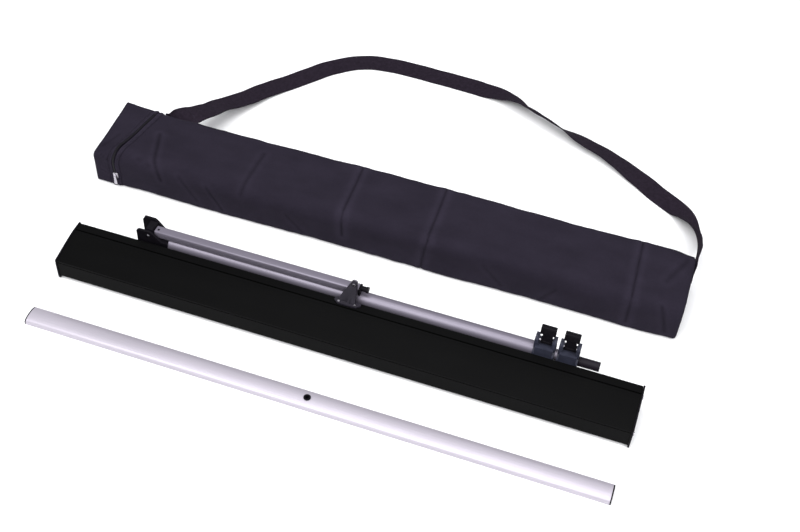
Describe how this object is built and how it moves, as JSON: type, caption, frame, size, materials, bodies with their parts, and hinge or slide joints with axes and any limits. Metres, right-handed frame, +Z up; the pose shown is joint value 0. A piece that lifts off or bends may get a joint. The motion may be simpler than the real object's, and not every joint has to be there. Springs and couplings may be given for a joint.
{
  "type": "roll-up banner stand",
  "caption": "Retractable banner cassette with a folding telescopic pole on its rear edge, a separate flat top rail and a soft zipped carry bag with a shoulder strap.",
  "frame": {"origin": "centre of the flat underside of the pad under the middle of the cassette, on the floor", "axes": "+X along the cassette toward the end where the pole telescopes out, +Y toward the side that carries the pole, +Z up"},
  "size_m": [0.929, 0.7669, 0.0915],
  "materials": {
    "black_metal": "satin black powder coat",
    "black_plastic": "moulded, fine grain",
    "lock_plastic": "moulded blue-grey nylon",
    "silver": "satin anodised",
    "rail_silver": "satin anodised",
    "dark_tube": "dark brown-black coat",
    "rubber": "matt",
    "film": "smooth",
    "steel": "bright",
    "fabric": "woven nylon",
    "webbing": "woven webbing"
  },
  "bodies": {
    "cassette": {"base_tray": "black_metal", "bracket_screw_left": "steel", "bracket_screw_right": "steel", "cap_screw_left_front": "steel", "cap_screw_left_rear": "steel", "cap_screw_right_front": "steel", "cap_screw_right_rear": "steel", "centre_pad": "rubber", "end_cap_left": "black_plastic", "end_cap_right": "black_plastic", "foot_rivet_left": "steel", "foot_rivet_right": "steel", "idle_bush": "film", "pole_bracket": "black_plastic", "pole_pivot_pin": "steel", "rear_section": "black_metal", "spring_arbor": "steel", "top_cover": "black_metal", "torsion_spring": "steel"},
    "roller": {"roller_tube": "silver", "leader_film_roll": "film", "roller_plug_left": "black_plastic", "roller_plug_right": "black_plastic"},
    "foot_left": {"foot_bar_left": "black_metal", "foot_pad_left_inner": "rubber", "foot_pad_left_outer": "rubber"},
    "foot_right": {"foot_bar_right": "black_metal", "foot_pad_right_inner": "rubber", "foot_pad_right_outer": "rubber"},
    "link": {"link_tube": "silver", "link_pivot_lug": "steel", "link_end_fitting": "black_plastic", "link_knuckle": "black_plastic"},
    "outer_pole": {"knee_clevis": "black_plastic", "knee_pin": "steel", "outer_tube": "silver", "lock_1_collar": "lock_plastic", "lock_1_pin": "steel"},
    "lock_1": {"lock_1_lever": "black_plastic"},
    "middle_pole": {"middle_tube": "silver", "lock_2_collar": "lock_plastic", "lock_2_pin": "steel"},
    "lock_2": {"lock_2_lever": "black_plastic"},
    "tip_pole": {"tip_tube": "dark_tube", "tip_plug": "black_plastic"},
    "rail": {"top_rail": "rail_silver", "rail_end_left": "black_plastic", "rail_end_right": "black_plastic", "rail_socket": "black_plastic"},
    "bag": {"bag_shell": "fabric", "bag_zip": "fabric", "shoulder_strap": "webbing"},
    "bag_flap": {"bag_end_flap": "fabric"},
    "zip": {"zip_slider": "steel"},
    "zip_tab": {"zip_pull": "steel"}
  },
  "joints": [
    {"name": "roller_spin", "type": "hinge", "parent": "cassette", "child": "roller", "pos_m": [0, 0.002, 0.0235], "axis": [1, 0, 0], "continuous": true},
    {"name": "foot_left_turn", "type": "hinge", "parent": "cassette", "child": "foot_left", "pos_m": [-0.3, 0, 0.0013], "axis": [0, 0, 1], "range_deg": [0, 90]},
    {"name": "foot_right_turn", "type": "hinge", "parent": "cassette", "child": "foot_right", "pos_m": [0.3, 0, 0.0013], "axis": [0, 0, -1], "range_deg": [0, 90]},
    {"name": "pole_raise", "type": "hinge", "parent": "cassette", "child": "link", "pos_m": [0.0062, 0.0515, 0.08], "axis": [0, 1, 0], "range_deg": [0, 90]},
    {"name": "pole_unfold", "type": "hinge", "parent": "link", "child": "outer_pole", "pos_m": [-0.3125, 0.0515, 0.05745], "axis": [0, 1, 0], "range_deg": [0, 180]},
    {"name": "lock_1_flip", "type": "hinge", "parent": "outer_pole", "child": "lock_1", "pos_m": [0.278, 0.0515, 0.062], "axis": [-1, 0, 0], "range_deg": [0, 95]},
    {"name": "middle_slide", "type": "slide", "parent": "outer_pole", "child": "middle_pole", "axis": [1, 0, 0], "range_m": [0, 0.48]},
    {"name": "lock_2_flip", "type": "hinge", "parent": "middle_pole", "child": "lock_2", "pos_m": [0.3165, 0.0515, 0.062], "axis": [-1, 0, 0], "range_deg": [0, 95]},
    {"name": "tip_slide", "type": "slide", "parent": "middle_pole", "child": "tip_pole", "axis": [1, 0, 0], "range_m": [0, 0.48]},
    {"name": "rail_lift", "type": "slide", "parent": "cassette", "child": "rail", "axis": [0, 0, 1], "range_m": [0, 0.3]},
    {"name": "bag_lift", "type": "slide", "parent": "cassette", "child": "bag", "axis": [0, 0, 1], "range_m": [0, 0.3]},
    {"name": "bag_flap_open", "type": "hinge", "parent": "bag", "child": "bag_flap", "pos_m": [-0.4135, 0.289, 0.035], "axis": [0, 0, -1], "range_deg": [0, 90]},
    {"name": "zip_run", "type": "slide", "parent": "bag", "child": "zip", "axis": [0, 0, 1], "range_m": [0, 0.018]},
    {"name": "zip_pull_swing", "type": "hinge", "parent": "zip", "child": "zip_tab", "pos_m": [-0.433, 0.1616, 0.026], "axis": [-1, 0, 0], "range_deg": [0, 120]}
  ]
}
